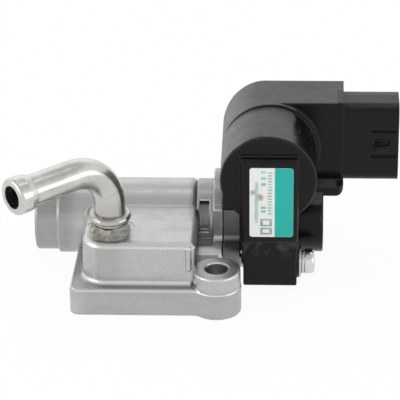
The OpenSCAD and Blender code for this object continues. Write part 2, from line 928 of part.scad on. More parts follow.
module coil_bobbin() {
  half = bobbin_len / 2;
  color([0.85, 0.83, 0.76])
    difference() {
      union() {
        ycyl(bobbin_r, -half, -half + 1.5);
        ycyl(tube_r, -half, half);
        ycyl(bobbin_r, half - 1.5, half);
      }
      box([core_x[0], -half - 1, limb[0]], [core_x[1], half + 1, limb[1]]);
    }
}

module coil_winding() {
  half = bobbin_len / 2 - 1.5;
  color([0.72, 0.40, 0.20])
    difference() {
      ycyl(wire_r, -half, half);
      ycyl(tube_r, -half - 1, half + 1);
    }
}

// Terminal blade i with its tail inside the housing
module terminal(i) {
  z = shroud_z + i * pin_pitch;
  box([shroud_end - socket_deep - 4, shroud_y - 0.4, z - 1.1], [shroud_end - 3.5, shroud_y + 0.4, z + 1.1]);
  box([drum_x + bobbin_r + 2, shroud_y - 0.4, z - 0.6],
      [shroud_end - socket_deep - 3, shroud_y + 0.4, z + 0.6]);
}

module terminal_top() {
  color([0.80, 0.76, 0.60])
    terminal(1);
}

module terminal_middle() {
  color([0.80, 0.76, 0.60])
    terminal(0);
}

module terminal_bottom() {
  color([0.80, 0.76, 0.60])
    terminal(-1);
}

// Rotor

module rotor_shaft() {
  color([0.75, 0.76, 0.78])
    turned(shaft_r, shaft_x[0], shaft_x[1], 0.3, 0.3);
}

module rotor_magnet() {
  color([0.30, 0.30, 0.32])
    difference() {
      turned(magnet_r, magnet_x[0], magnet_x[1], 0.4, 0.4);
      xcyl(shaft_r, magnet_x[0] - 1, magnet_x[1] + 1);
    }
}

// Pie-shaped closing sector on its hub
module rotary_valve() {
  far = bore_r * 2;
  color([0.60, 0.52, 0.36])
    difference() {
      union() {
        xcyl(valve_hub, valve_x[0] - 1, valve_x[1] + 1);
        intersection() {
          xcyl(bore_r - valve_clear, valve_x[0], valve_x[1]);
          translate([0, 0, axis_h])
            rotate([-valve_rest, 0, 0])
              translate([valve_x[0] - 1, 0, 0])
                rotate([90, 0, 90])
                  linear_extrude(height = valve_x[1] - valve_x[0] + 2)
                    polygon([[0, 0], [-far * sin(valve_half), -far * cos(valve_half)], [0, -far * 1.2],
                             [far * sin(valve_half), -far * cos(valve_half)]]);
        }
      }
      xcyl(shaft_r, valve_x[0] - 2, valve_x[1] + 2);
    }
}

module stop_lever() {
  color([0.66, 0.66, 0.64])
    difference() {
      union() {
        xcyl(valve_hub, lever_x[0], lever_x[1]);
        box([lever_x[0], -lever_half, axis_h], [lever_x[1], lever_half, axis_h + lever_len]);
      }
      xcyl(shaft_r, -5, 0);
    }
}

module bearing_outer_rings() {
  color([0.62, 0.63, 0.65])
    for (x = brg_x)
      difference() {
        xcyl(brg_r, x, x + brg_w);
        xcyl(race_out, x - 1, x + brg_w + 1);
        race(x, ball_r + ball_play);
      }
}

module bearing_inner_rings() {
  color([0.66, 0.67, 0.69])
    for (x = brg_x)
      difference() {
        xcyl(race_in, x, x + brg_w);
        xcyl(shaft_r, x - 1, x + brg_w + 1);
        race(x, ball_r + ball_play);
      }
}

module race(x, r) {
  translate([x + brg_w / 2, 0, axis_h])
    rotate([0, 90, 0])
      rotate_extrude()
        translate([ball_ring, 0])
          circle(r = r);
}

module bearing_balls() {
  count = 7;
  color([0.78, 0.79, 0.80])
    for (x = brg_x)
      for (i = [0 : count - 1])
        translate([x + brg_w / 2, 0, axis_h])
          rotate([i * 360 / count, 0, 0])
            translate([0, 0, ball_ring])
              sphere(r = ball_r, $fn = 24);
}

module shaft_seal() {
  color([0.14, 0.12, 0.11])
    difference() {
      xcyl(seal_r, seal_x[0], seal_x[1]);
      xcyl(shaft_r + 0.04, seal_x[0] - 1, seal_x[1] + 1);
    }
}

// Screws and washers

module motor_screws() {
  color([0.82, 0.83, 0.84])
    for (s = [-1, 1])
      translate([0, s * ear_y, ear_z])
        difference() {
          union() {
            xcyl(shaft_r, ear_left + 1.5, head_x + 0.5, 0, 0);
            translate([head_x, 0, 0])
              rotate([0, 90, 0])
                rotate_extrude()
                  rrect(0, 0, head_r, head_t, [0, 0.3, 1.2, 0]);
          }
          for (a = [0, 90])
            rotate([a, 0, 0])
              box([head_x + 1.4, -2, -0.4], [head_x + 4, 2, 0.4]);
        }
}

module spring_washers() {
  color([0.78, 0.79, 0.80])
    for (s = [-1, 1])
      difference() {
        xcyl(spring_r, head_x - spring_t, head_x, s * ear_y, ear_z);
        xcyl(shaft_r + 0.15, head_x - 2, head_x + 1, s * ear_y, ear_z);
        box([head_x - 2, s * ear_y - 0.4, ear_z], [head_x + 1, s * ear_y + 0.4, ear_z + 6]);
      }
}

module flat_washers() {
  color([0.80, 0.81, 0.82])
    for (s = [-1, 1])
      difference() {
        xcyl(flat_r, washer_x, washer_x + flat_t, s * ear_y, ear_z);
        xcyl(shaft_r + 0.15, washer_x - 1, head_x + 1, s * ear_y, ear_z);
      }
}

module label() {
  color([0.20, 0.65, 0.60])
    along_y(-leg_face - 0.12, -leg_face)
      rrect(leg_left + 2.7, leg_step + 1.9, leg_right - 1.44, leg_top - 2.3, [0.8, 0.8, 0.8, 0.8]);
}

valve_body();
hose_pipe();
pipe_sealant();
bore_plug();
air_port_seal();
coolant_seal();
base_gasket();
motor_base_plate();
coil_housing();
rotor_case_plug();
coil_bobbin();
coil_winding();
core_laminations();
terminal_top();
terminal_middle();
terminal_bottom();
rotor_shaft();
rotor_magnet();
rotary_valve();
stop_lever();
bearing_outer_rings();
bearing_inner_rings();
bearing_balls();
shaft_seal();
motor_screws();
spring_washers();
flat_washers();
label();
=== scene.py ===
import json
import math
import bpy
from mathutils import Matrix, Vector


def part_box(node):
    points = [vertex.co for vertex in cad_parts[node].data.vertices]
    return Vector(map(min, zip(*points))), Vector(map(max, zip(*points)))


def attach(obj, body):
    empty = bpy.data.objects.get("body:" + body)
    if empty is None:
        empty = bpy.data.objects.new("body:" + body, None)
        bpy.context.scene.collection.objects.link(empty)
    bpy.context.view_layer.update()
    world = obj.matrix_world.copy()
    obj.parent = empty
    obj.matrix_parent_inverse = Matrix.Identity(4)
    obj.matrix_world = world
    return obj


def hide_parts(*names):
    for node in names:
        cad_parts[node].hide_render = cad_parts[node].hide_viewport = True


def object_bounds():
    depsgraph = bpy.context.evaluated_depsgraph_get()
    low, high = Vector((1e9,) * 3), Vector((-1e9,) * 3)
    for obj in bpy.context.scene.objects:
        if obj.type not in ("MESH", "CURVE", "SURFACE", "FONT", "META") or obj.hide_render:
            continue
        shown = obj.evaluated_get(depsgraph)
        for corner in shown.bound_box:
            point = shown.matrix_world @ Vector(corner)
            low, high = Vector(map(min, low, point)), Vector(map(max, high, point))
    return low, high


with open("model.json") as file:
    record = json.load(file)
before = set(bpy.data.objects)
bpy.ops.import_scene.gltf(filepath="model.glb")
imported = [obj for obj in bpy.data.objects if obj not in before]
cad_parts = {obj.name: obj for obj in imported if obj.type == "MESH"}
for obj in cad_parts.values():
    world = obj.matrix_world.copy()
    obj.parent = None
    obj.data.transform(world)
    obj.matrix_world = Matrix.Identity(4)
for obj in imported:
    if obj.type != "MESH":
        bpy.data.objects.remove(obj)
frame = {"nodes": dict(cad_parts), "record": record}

cad_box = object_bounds()
scene = bpy.context.scene
scene.view_settings.view_transform = "Standard"

# Places on the part, in metres, as (start, end) of a smooth step along one axis.
# +X points to the connector, -Y to the camera, and Z is up.
HIGHLIT_FRONT = (-0.0125, -0.0150)  # Y: in front of the barrel, where the casting's rounded edges get a painted highlight
BARE_FRONT = (-0.0190, -0.0186)  # Y: no dust and no painted light on the drum's front end
SHROUD_LEFT = (0.0340, 0.0346)  # X: left end of the connector's shroud
SHROUD_STRIP = (0.0112, 0.0102)  # Y: the shroud keeps its dust and painted light only behind this
CASE_RIGHT = (0.0355, 0.0345)  # X: right side of the rear housing
REFLECTION_LOW = (0.0110, 0.0135)  # Z: lower end of the painted reflection on the front leg's foot
REFLECTION_HIGH = (0.0175, 0.0165)  # Z: its upper end
REFLECTION_FRONT = (-0.0200, -0.0210)  # Y: the foot's front face
PIPE_DARK_REFLECTION = (0.0370, 0.0290)  # Z: the pipe is darker below this, as a painted reflection
GREY_SEALANT = (-0.0300, -0.0270)  # X: right part of the sealant

WORN_PATCH = (0.0108, -0.0192, 0.0490)  # centre of the worn patch on the drum's front top edge
WORN_STRETCH = (1.0, 2.2, 1.6)  # how much faster the patch ends along each axis
WORN_REACH = (0.0030, 0.0038)  # its radius, from bare to dusty

# Zones of painted shade on the casting: strength, then the steps that bound the zone
SHADED_ZONES = (
    # left end of the barrel
    (0.42, ("X", -0.0400, -0.0450), ("Y", -0.0160, -0.0120)),
    # neck and motor flange
    (0.40, ("X", -0.0090, -0.0075), ("Y", -0.0200, -0.0120)),
    # recess in the front of the neck, with painted shade and a painted reflection of the black parts nearby
    (0.85, ("X", -0.0064, -0.0060), ("X", -0.0024, -0.0028), ("Z", 0.0225, 0.0200), ("Z", 0.0136, 0.0150)),
    # side of the plate, but for its left end
    (0.20, ("Z", 0.0092, 0.0080), ("X", -0.0400, -0.0360)),
    # front face of the coolant block, at its left
    (0.20, ("Y", -0.0300, -0.0315), ("Z", 0.0085, 0.0100), ("X", -0.0350, -0.0335), ("X", -0.0240, -0.0290)),
)

# grey of the dust on the black moulding, also its painted light
DUST_AND_LIGHT_TONE = (0.25, 0.25, 0.25)


# Materials

def shade(tone, k):
    """The tone made lighter or darker."""
    return tuple(min(1.0, c * k) for c in tone)


class Mat:
    """A node material on one Principled shader, built step by step."""

    def __init__(self, name, color, rough, metal=0.0, bevel=0.0):
        self.mat = bpy.data.materials.new(name)
        self.mat.use_nodes = True
        self.nodes = self.mat.node_tree.nodes
        self.links = self.mat.node_tree.links
        self.bsdf = self.nodes["Principled BSDF"]
        self.bsdf.inputs["Base Color"].default_value = (*color, 1.0)
        self.bsdf.inputs["Roughness"].default_value = rough
        self.bsdf.inputs["Metallic"].default_value = metal
        self.coord = self.nodes.new("ShaderNodeTexCoord").outputs["Object"]
        self.geo = self.nodes.new("ShaderNodeNewGeometry")
        self.normal_in = None
        if bevel:
            self.normal_in = self.rounded(bevel)
            self.link(self.normal_in, self.bsdf.inputs["Normal"])

    def link(self, a, b):
        self.links.new(a, b)

    def value(self, socket, v):
        """Set a socket from a number, a colour or another socket."""
        if isinstance(v, bpy.types.NodeSocket):
            self.link(v, socket)
        elif isinstance(v, tuple):
            socket.default_value = (*v, 1.0)
        else:
            socket.default_value = v

    def rounded(self, reach):
        """The surface's normal, as if its sharp edges were rounded with a radius of reach."""
        n = self.nodes.new("ShaderNodeBevel")
        n.samples = 6
        n.inputs["Radius"].default_value = reach
        return n.outputs["Normal"]

    def mapped(self, scale):
        """The place on the part, stretched along each axis."""
        n = self.nodes.new("ShaderNodeMapping")
        n.inputs["Scale"].default_value = scale
        self.link(self.coord, n.inputs["Vector"])
        return n.outputs["Vector"]

    def noise(self, scale, detail=4.0, rough=0.55, place=None):
        n = self.nodes.new("ShaderNodeTexNoise")
        n.inputs["Scale"].default_value = scale
        n.inputs["Detail"].default_value = detail
        n.inputs["Roughness"].default_value = rough
        self.link(place or self.coord, n.inputs["Vector"])
        return n.outputs["Fac"]

    def cells(self, scale):
        """Distance to the nearest of many scattered points."""
        n = self.nodes.new("ShaderNodeTexVoronoi")
        n.inputs["Scale"].default_value = scale
        self.link(self.coord, n.inputs["Vector"])
        return n.outputs["Distance"]

    def line(self, fac, a, b):
        """A straight line from 0 at a to 1 at b."""
        n = self.nodes.new("ShaderNodeMapRange")
        self.value(n.inputs["Value"], fac)
        n.inputs["From Min"].default_value = a
        n.inputs["From Max"].default_value = b
        return n.outputs["Result"]

    def ramp(self, fac, a, b, lo=0.0, hi=1.0):
        """A smooth step of fac from lo at a to hi at b."""
        n = self.nodes.new("ShaderNodeMapRange")
        n.interpolation_type = "SMOOTHSTEP"
        self.value(n.inputs["Value"], fac)
        n.inputs["From Min"].default_value = a
        n.inputs["From Max"].default_value = b
        n.inputs["To Min"].default_value = lo
        n.inputs["To Max"].default_value = hi
        return n.outputs["Result"]

    def zone(self, *steps):
        """1 inside a zone and 0 outside, from steps that are each (axis, start, end)."""
        return self.times(*(self.ramp(self.axis(axis), start, end) for axis, start, end in steps))

    def creases(self, reach, a, b, amount):
        """How far the point lies in a crease: amount in it, 0 in the open."""
        n = self.nodes.new("ShaderNodeAmbientOcclusion")
        n.samples = 6
        n.inputs["Distance"].default_value = reach
        return self.ramp(n.outputs["AO"], a, b, amount, 0.0)

    def edges(self, reach, a=0.995, b=0.93):
        """1 along sharp edges within reach of them, 0 on flat or gently curved faces."""
        n = self.nodes.new("ShaderNodeVectorMath")
        n.operation = "DOT_PRODUCT"
        self.link(self.rounded(reach), n.inputs[0])
        self.link(self.geo.outputs["Normal"], n.inputs[1])
        return self.ramp(n.outputs["Value"], a, b)

    def distance(self, place, stretch):
        """Distance to a place on the part, with each axis stretched."""
        offset = self.nodes.new("ShaderNodeVectorMath")
        offset.operation = "SUBTRACT"
        self.link(self.coord, offset.inputs[0])
        offset.inputs[1].default_value = place
        stretched = self.nodes.new("ShaderNodeVectorMath")
        stretched.operation = "MULTIPLY"
        self.link(offset.outputs["Vector"], stretched.inputs[0])
        stretched.inputs[1].default_value = stretch
        length = self.nodes.new("ShaderNodeVectorMath")
        length.operation = "LENGTH"
        self.link(stretched.outputs["Vector"], length.inputs[0])
        return length.outputs["Value"]

    def math(self, op, a, b=0.0, clamp=False):
        n = self.nodes.new("ShaderNodeMath")
        n.operation = op
        n.use_clamp = clamp
        self.value(n.inputs[0], a)
        self.value(n.inputs[1], b)
        return n.outputs[0]

    def plus(self, a, b):
        return self.math("ADD", a, b)

    def minus(self, a, b):
        return self.math("SUBTRACT", a, b)

    def larger(self, *values):
        """The largest of the values."""
        result = values[0]
        for v in values[1:]:
            result = self.math("MAXIMUM", result, v)
        return result

    def times(self, *factors):
        """The product of the factors."""
        result = factors[0]
        for factor in factors[1:]:
            result = self.math("MULTIPLY", result, factor)
        return result

    def swing(self, noise, amount):
        """The noise's swing about its middle, times amount."""
        return self.times(self.minus(noise, 0.5), amount)

    def mix(self, fac, a, b):
        """Colour a where fac is 0 and colour b where it is 1."""
        n = self.nodes.new("ShaderNodeMix")
        n.data_type = "RGBA"
        self.value(n.inputs["Factor"], fac)
        self.value(n.inputs[6], a)
        self.value(n.inputs[7], b)
        return n.outputs[2]

    def axis(self, name):
        """One coordinate of the place on the part, in metres."""
        n = self.nodes.new("ShaderNodeSeparateXYZ")
        self.link(self.coord, n.inputs[0])
        return n.outputs[name]

    def facing(self, name):
        """How far the surface looks along an axis, from -1 to 1."""
        n = self.nodes.new("ShaderNodeSeparateXYZ")
        self.link(self.geo.outputs["Normal"], n.inputs[0])
        return n.outputs[name]

    def bump(self, height, strength, distance):
        """Add a relief on top of those set before."""
        n = self.nodes.new("ShaderNodeBump")
        n.inputs["Strength"].default_value = strength
        n.inputs["Distance"].default_value = distance
        self.link(height, n.inputs["Height"])
        if self.normal_in is not None:
            self.link(self.normal_in, n.inputs["Normal"])
        self.normal_in = n.outputs["Normal"]
        self.link(self.normal_in, self.bsdf.inputs["Normal"])

    def set_color(self, socket):
        self.link(socket, self.bsdf.inputs["Base Color"])

    def set_rough(self, socket):
        self.link(socket, self.bsdf.inputs["Roughness"])


def cast_metal(name, tone, rough, streak=0.0, shaded_zones=()):
    """Die-cast metal: satin skin, fine grain and specks, rubbed edges with a painted highlight, and painted
    shade in the creases. Given zones get painted shade, and then the rounded edges in front of the barrel
    get a painted highlight.

    streak is the strength of faint lines along X."""
    m = Mat(name, tone, rough, metal=1.0, bevel=0.0005)
    fine = m.noise(2200, 3)
    mid = m.noise(300, 4, 0.6)
    base = m.mix(m.ramp(fine, 0.30, 0.70), shade(tone, 0.94), shade(tone, 1.05))
    base = m.mix(m.ramp(mid, 0.56, 0.76, 0.0, 0.12), base, shade(tone, 0.80))
    specks = m.ramp(m.cells(520), 0.13, 0.04, 0.0, 0.30)
    base = m.mix(specks, base, shade(tone, 0.55))
    if streak:
        lines = m.noise(420, 3, 0.6, m.mapped((0.10, 1, 1)))
        base = m.mix(m.ramp(lines, 0.48, 0.70, 0.0, streak), base, shade(tone, 0.70))
    # painted shade: the zones listed above are darkened
    for strength, *steps in shaded_zones:
        base = m.mix(m.times(m.zone(*steps), strength), base, shade(tone, 0.35))
    if shaded_zones:
        # painted highlight: rounded edges and fillets in front of the barrel that slope between up and
        # forward are made bright
        highlit_slope = m.times(m.ramp(m.facing("Z"), 0.20, 0.45), m.ramp(m.facing("Z"), 0.96, 0.80),
                        m.ramp(m.axis("Y"), *HIGHLIT_FRONT))
        base = m.mix(m.times(highlit_slope, 0.55), base, shade(tone, 1.65))
    # rubbed wear along sharp edges, lightened further as a painted highlight
    rubbed = m.times(m.edges(0.0007, 0.997, 0.95), m.ramp(mid, 0.30, 0.60, 0.35, 0.75))
    base = m.mix(rubbed, base, shade(tone, 1.7))
    # painted shade in the creases
    base = m.mix(m.creases(0.0012, 0.40, 0.90, 0.55), base, shade(tone, 0.30))
    m.set_color(base)
    m.set_rough(m.ramp(mid, 0.3, 0.7, rough - 0.04, rough + 0.06))
    m.bump(fine, 0.12, 0.00005)
    m.bump(m.noise(45, 2), 0.10, 0.0005)
    return m


def dust_and_light_film(m, blot, front):
    """How dusty and painted lit the black moulding is: 1 on faces that look up or left, 0 where it is bare;
    on the drum its edge is a painted shadow's edge.
    """
    # painted light and shadow: faces that look up and left are lit, faces that look right and forward are
    # left in shade
    side = m.minus(m.times(m.facing("Z"), 0.90), m.times(m.facing("X"), 0.75))
    side = m.plus(side, m.times(m.math("MINIMUM", m.facing("Y"), 0.0), 0.40))
    side = m.plus(side, m.swing(blot, 0.36))
    lines = m.noise(210, 5, 0.7, m.mapped((0.35, 1.4, 1.4)))
    film = m.times(m.ramp(side, 0.33, 0.45), m.ramp(lines, 0.32, 0.66, 0.70, 1.0))
    # worn patch
    away = m.plus(m.distance(WORN_PATCH, WORN_STRETCH), m.swing(m.noise(520, 4, 0.7), 0.0042))
    film = m.times(film, m.ramp(away, *WORN_REACH))
    # painted reflection: a mottled band of light specks on the drum's right side, which lies in shade
    mottle = m.ramp(m.noise(420, 5, 0.75), 0.54, 0.62, 0.0, 0.20)
    band = m.times(m.ramp(m.facing("X"), 0.45, 0.70), m.ramp(m.facing("Z"), 0.05, 0.25))
    film = m.larger(film, m.times(mottle, band))
    film = m.times(film, m.ramp(front, *BARE_FRONT))
    # less dust and painted light on the connector's shroud, but for a strip along its back, which stays as a
    # painted highlight
    shroud_dimmed = m.times(m.ramp(m.axis("X"), *SHROUD_LEFT), m.ramp(front, *SHROUD_STRIP))
    return m.times(film, m.minus(1.0, m.times(shroud_dimmed, 0.86)))


def foot_reflection(m, front):
    """Painted reflection: faint light patches across the foot of the front leg, just under its ledge."""
    sheen = m.ramp(m.noise(240, 5, 0.62, m.mapped((1.6, 1, 1))), 0.46, 0.64, 0.0, 0.34)
    height = m.zone(("Z", *REFLECTION_LOW), ("Z", *REFLECTION_HIGH))
    return m.times(sheen, height, m.ramp(front, *REFLECTION_FRONT))


def moulded(name, tone, rough, gloss=0.25, dust=0.0):
    """Moulded plastic, slightly blotched. dust is the strength of the black housing's dust, which also
    stands for painted light on its faces that look up and left.
    """
    m = Mat(name, tone, rough, bevel=0.0009)
    m.bsdf.inputs["Specular IOR Level"].default_value = gloss
    blot = m.noise(150, 5, 0.65)
    if dust:
        front = m.plus(m.axis("Y"), m.swing(m.noise(380, 4, 0.7), 0.0018))
        # edges worn pale, with a painted highlight; weaker right of the rear housing
        worn_and_highlit_edges = m.times(m.edges(0.0004), m.ramp(m.axis("X"), *CASE_RIGHT, 0.12, 0.5))
        # dust with painted light, edges worn and highlit, and the painted reflection on the leg's foot
        film = m.larger(dust_and_light_film(m, blot, front), worn_and_highlit_edges, foot_reflection(m, front))
        # painted light: stronger on what looks left, and patchy
        left_lit_patches = m.plus(m.times(m.ramp(m.facing("X"), -0.15, -0.90), 0.9),
                       m.ramp(m.noise(600, 5, 0.7), 0.3, 0.7, 0.80, 1.15))
        # dust and painted light turn the black moulding grey
        m.set_color(m.mix(m.times(film, left_lit_patches, dust), tone, DUST_AND_LIGHT_TONE))
        m.set_rough(m.plus(m.ramp(blot, 0.3, 0.75, rough - 0.06, rough + 0.06), m.times(film, 0.25)))
    else:
        m.set_color(m.mix(m.ramp(blot, 0.4, 0.8, 0.0, 0.6), tone, shade(tone, 2.0)))
        m.set_rough(m.ramp(blot, 0.3, 0.75, rough - 0.06, rough + 0.10))
    m.bump(m.noise(1800, 2), 0.12, 0.00004)
    m.bump(blot, 0.08, 0.0002)
    return m


def turned_metal(name, tone, rough, metal=1.0, edge=0.00015):
    """Bright machined or plated metal with faint lines and stains, and painted shade where pieces meet."""
    m = Mat(name, tone, rough, metal, bevel=edge)
    stain = m.noise(240, 4)
    base = m.mix(m.ramp(stain, 0.45, 0.75, 0.0, 0.5), tone, shade(tone, 0.72))
    # painted shade where pieces meet
    m.set_color(m.mix(m.creases(0.0009, 0.45, 0.92, 0.85), base, shade(tone, 0.16)))
    m.set_rough(m.ramp(stain, 0.3, 0.7, rough - 0.05, rough + 0.12))
    m.bump(m.noise(900, 3, 0.5, m.mapped((6, 1, 1))), 0.10, 0.00004)
    return m


def rubber(name, tone, rough):
    """Dull rubber with a fine grain."""
    m = Mat(name, tone, rough)
    grain = m.noise(800, 4)
    m.set_color(m.mix(m.ramp(grain, 0.4, 0.7), tone, shade(tone, 2.2)))
    m.bump(grain, 0.2, 0.00008)
    return m


def pipe_metal(name, tone, rough):
    """Plated steel pipe: satin, slightly warm, stained in places, darker above its foot as a painted
    reflection, with painted shade in its creases.
    """
    m = Mat(name, tone, rough, 1.0, bevel=0.0003)
    wide = m.noise(120, 4, 0.6)
    color = m.mix(m.ramp(wide, 0.35, 0.68), shade(tone, 0.90), shade(tone, 1.05))
    # stains at random, and a painted reflection that darkens the pipe above its foot
    stain = m.larger(m.ramp(m.noise(260, 5, 0.65), 0.50, 0.70, 0.0, 0.42),
                     m.ramp(m.axis("Z"), *PIPE_DARK_REFLECTION, 0.0, 0.55))
    color = m.mix(stain, color, (0.38, 0.37, 0.34))
    # painted shade in the creases
    color = m.mix(m.creases(0.0018, 0.40, 0.90, 0.7), color, (0.20, 0.19, 0.17))
    m.set_color(color)
    m.set_rough(m.ramp(wide, 0.3, 0.7, rough - 0.05, rough + 0.06))
    m.bump(m.noise(1300, 3), 0.10, 0.00004)
    return m


def paste(name, tone, rough):
    """Cured sealant: pale, lumpy and soiled, greyer on its right, with painted shade in its folds."""
    m = Mat(name, tone, rough)
    lump = m.noise(620, 5, 0.7)
    color = m.mix(m.ramp(m.noise(230, 3), 0.46, 0.60), (0.27, 0.265, 0.215), tone)
    color = m.mix(m.ramp(lump, 0.48, 0.62, 0.0, 0.60), color, (0.15, 0.14, 0.115))
    color = m.mix(m.ramp(m.axis("X"), *GREY_SEALANT), color, (0.36, 0.36, 0.35))
    # painted shade in the folds
    color = m.mix(m.creases(0.0012, 0.30, 0.85, 0.8), color, (0.05, 0.045, 0.04))
    m.set_color(color)
    m.bump(lump, 0.5, 0.0003)
    return m


# Label. Its marks stand in shares of its width from the left and of its height from the top.
SPLIT = (0.570, 0.578)  # where the off-white part ends and the teal part begins
SOFT_U, SOFT_V = 0.008, 0.005  # half the blur of a mark's edges
SOFT_BAR = 0.12  # half the blur between the bars, in shares of their pitch
WAVER = 0.02  # how much the marks' left and right edges waver
# Rows of bars: left, right, top, bottom, count, share of the row that is filled
BARS = (
    (0.113, 0.196, 0.200, 0.800, 23, 0.72),
    (0.262, 0.372, 0.040, 0.305, 3, 0.42),
    (0.262, 0.372, 0.555, 0.665, 2, 0.62),
    (0.415, 0.508, 0.055, 0.690, 15, 0.52),
)
FRAMES = ((0.245, 0.512, 0.735, 0.845), (0.245, 0.512, 0.865, 0.965))  # left, right, top, bottom
FRAME_U, FRAME_V = 0.055, 0.024  # thickness of a frame's sides and of its top and bottom
SPOTS = ((0.06, 0.355, 0.060), (0.24, 0.425, 0.075))  # brown spots: across, down, radius
ASPECT = 0.57  # width of the label over its height
WORN_RIMS = ((0.985, 1.0), (0.015, 0.0))  # from whole to worn: bottom and right, then top and left


def label_film(name):
    """Two-colour label: off-white on the left, teal on the right, worn and slightly soiled."""
    m = Mat(name, (0.1, 0.45, 0.4), 0.38)
    m.bsdf.inputs["Specular IOR Level"].default_value = 0.3
    lowest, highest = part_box("label")
    u = m.line(m.axis("X"), lowest[0], highest[0])
    v = m.line(m.axis("Z"), highest[2], lowest[2])
    dirt = m.noise(420, 5, 0.65)
    shaky = m.plus(u, m.swing(m.noise(900, 2), WAVER))

    def rect(u0, u1, v0, v1):
        return m.times(m.ramp(shaky, u0 - SOFT_U, u0 + SOFT_U), m.ramp(shaky, u1 + SOFT_U, u1 - SOFT_U),
                       m.ramp(v, v0 - SOFT_V, v0 + SOFT_V), m.ramp(v, v1 + SOFT_V, v1 - SOFT_V))

    def bars(u0, u1, v0, v1, count, fill):
        step = m.math("FRACT", m.times(m.minus(v, v0), count / (v1 - v0)))
        return m.times(rect(u0, u1, v0, v1), m.ramp(step, fill + SOFT_BAR, fill - SOFT_BAR))

    def hollow(u0, u1, v0, v1):
        hole = rect(u0 + FRAME_U, u1 - FRAME_U, v0 + FRAME_V, v1 - FRAME_V)
        return m.math("SUBTRACT", rect(u0, u1, v0, v1), hole, clamp=True)

    # the off-white part has rows of bars and two frames, in places worn off
    worn = m.ramp(dirt, 0.30, 0.60, 0.55, 0.85)
    white = m.mix(m.ramp(dirt, 0.46, 0.78, 0.0, 0.40), (0.86, 0.86, 0.83), (0.70, 0.66, 0.60))
    white = m.mix(m.times(m.larger(*(bars(*b) for b in BARS)), worn), white, (0.17, 0.48, 0.41))
    white = m.mix(m.times(m.larger(*(hollow(*f) for f in FRAMES)), worn), white, (0.14, 0.29, 0.25))
    for u0, v0, radius in SPOTS:
        du = m.times(m.minus(u, u0), ASPECT)
        dv = m.minus(v, v0)
        away = m.math("SQRT", m.plus(m.times(du, du), m.times(dv, dv)))
        away = m.plus(away, m.swing(dirt, 0.12))
        white = m.mix(m.ramp(away, radius, 0.0, 0.0, 0.8), white, (0.22, 0.13, 0.08))
    # the teal part is rubbed pale along its rim
    teal = m.mix(m.ramp(dirt, 0.45, 0.8, 0.0, 0.25), (0.018, 0.45, 0.39), (0.030, 0.40, 0.35))
    rubbed = m.ramp(m.noise(700, 3), 0.45, 0.60, 0.25, 0.6)
    for whole, bare in WORN_RIMS:
        rim = m.larger(m.ramp(v, whole, bare), m.ramp(u, whole, bare))
        teal = m.mix(m.times(rim, rubbed), teal, (0.42, 0.52, 0.48))
    m.set_color(m.mix(m.ramp(u, *SPLIT), white, teal))
    m.set_rough(m.ramp(dirt, 0.3, 0.7, 0.34, 0.5))
    m.bump(dirt, 0.05, 0.0001)
    return m


SLOTS = {
    "cast_aluminium": cast_metal("cast_aluminium_skin", (0.50, 0.497, 0.494), 0.36, 0.25, SHADED_ZONES),
    # the base plate is much darker than the casting: partly a darker finish of its own, partly painted
    # shade, as it sits deep behind the lug
    "base_aluminium": cast_metal("base_aluminium_skin", (0.20, 0.197, 0.197), 0.42),
    "plated_steel": pipe_metal("pipe_plating", (0.60, 0.595, 0.565), 0.22),
    "sealant": paste("sealant_paste", (0.50, 0.485, 0.43), 0.55),
    "plug_steel": turned_metal("plug_plating", (0.52, 0.52, 0.51), 0.35),
    "seal_rubber": rubber("seal_rubber_skin", (0.02, 0.02, 0.021), 0.6),
    "gasket_rubber": rubber("gasket_skin", (0.03, 0.03, 0.03), 0.7),
    "black_plastic": moulded("black_moulding", (0.0045, 0.0044, 0.0044), 0.27, gloss=0.2, dust=0.40),
    "plug_plastic": moulded("plug_moulding", (0.008, 0.008, 0.008), 0.45),
    "bobbin_plastic": moulded("bobbin_moulding", (0.62, 0.58, 0.46), 0.5),
    "enamelled_copper": turned_metal("winding_enamel", (0.50, 0.17, 0.06), 0.35, metal=0.8),
    "core_steel": turned_metal("core_sheets", (0.30, 0.31, 0.33), 0.45),
    "tinned_brass": turned_metal("terminal_tin", (0.68, 0.64, 0.50), 0.25),
    "shaft_steel": turned_metal("shaft_ground", (0.62, 0.63, 0.64), 0.18),
    "magnet_ferrite": cast_metal("magnet_skin", (0.10, 0.10, 0.105), 0.6),
    "valve_metal": cast_metal("valve_skin", (0.48, 0.46, 0.40), 0.35),
    "lever_steel": turned_metal("lever_skin", (0.50, 0.50, 0.50), 0.35),
    "bearing_steel": turned_metal("bearing_ground", (0.62, 0.63, 0.65), 0.12),
    "screw_steel": turned_metal("screw_plating", (0.68, 0.665, 0.655), 0.12, edge=0.0008),
    "washer_steel": turned_metal("washer_plating", (0.62, 0.60, 0.59), 0.18, edge=0.0004),
    "label_film": label_film("label_film"),
}
for part in frame["record"]["subparts"]:
    mat = SLOTS[part["material_slot"]].mat
    obj = frame["nodes"][part["node"]]
    if not obj.material_slots:
        obj.data.materials.append(mat)
    for slot in obj.material_slots:
        slot.material = mat

# Sealant
PIPE_X, PIPE_Y = -0.0304, -0.0234  # axis of the pipe's upright leg
FOOT_Z, TOP_Z = 0.0209, 0.0241  # heights of the bead's foot and top
AROUND, STEPS = 112, 18  # points round the bead and steps up its side and over its top
SIDE_SHARE = 0.8  # share of the steps that go up the side
FOOT_R, TOP_R, PIPE_R = 0.0055, 0.0050, 0.00455  # radii at its foot, at its top and at the pipe
LEAN, LEAN_TURN = 0.0008, 235  # extra width on its thick side, and that side's direction in degrees
TAPER_RATE, TAPER_POWER = 1.25, 0.55  # how the width changes up the side
RIM_DROP = 0.0003  # how far the rim's waves go down
CROWN = 0.00012  # rise of the top between the rim and the pipe
TWIST = 2600  # turn of the lumps with height, in radians a metre
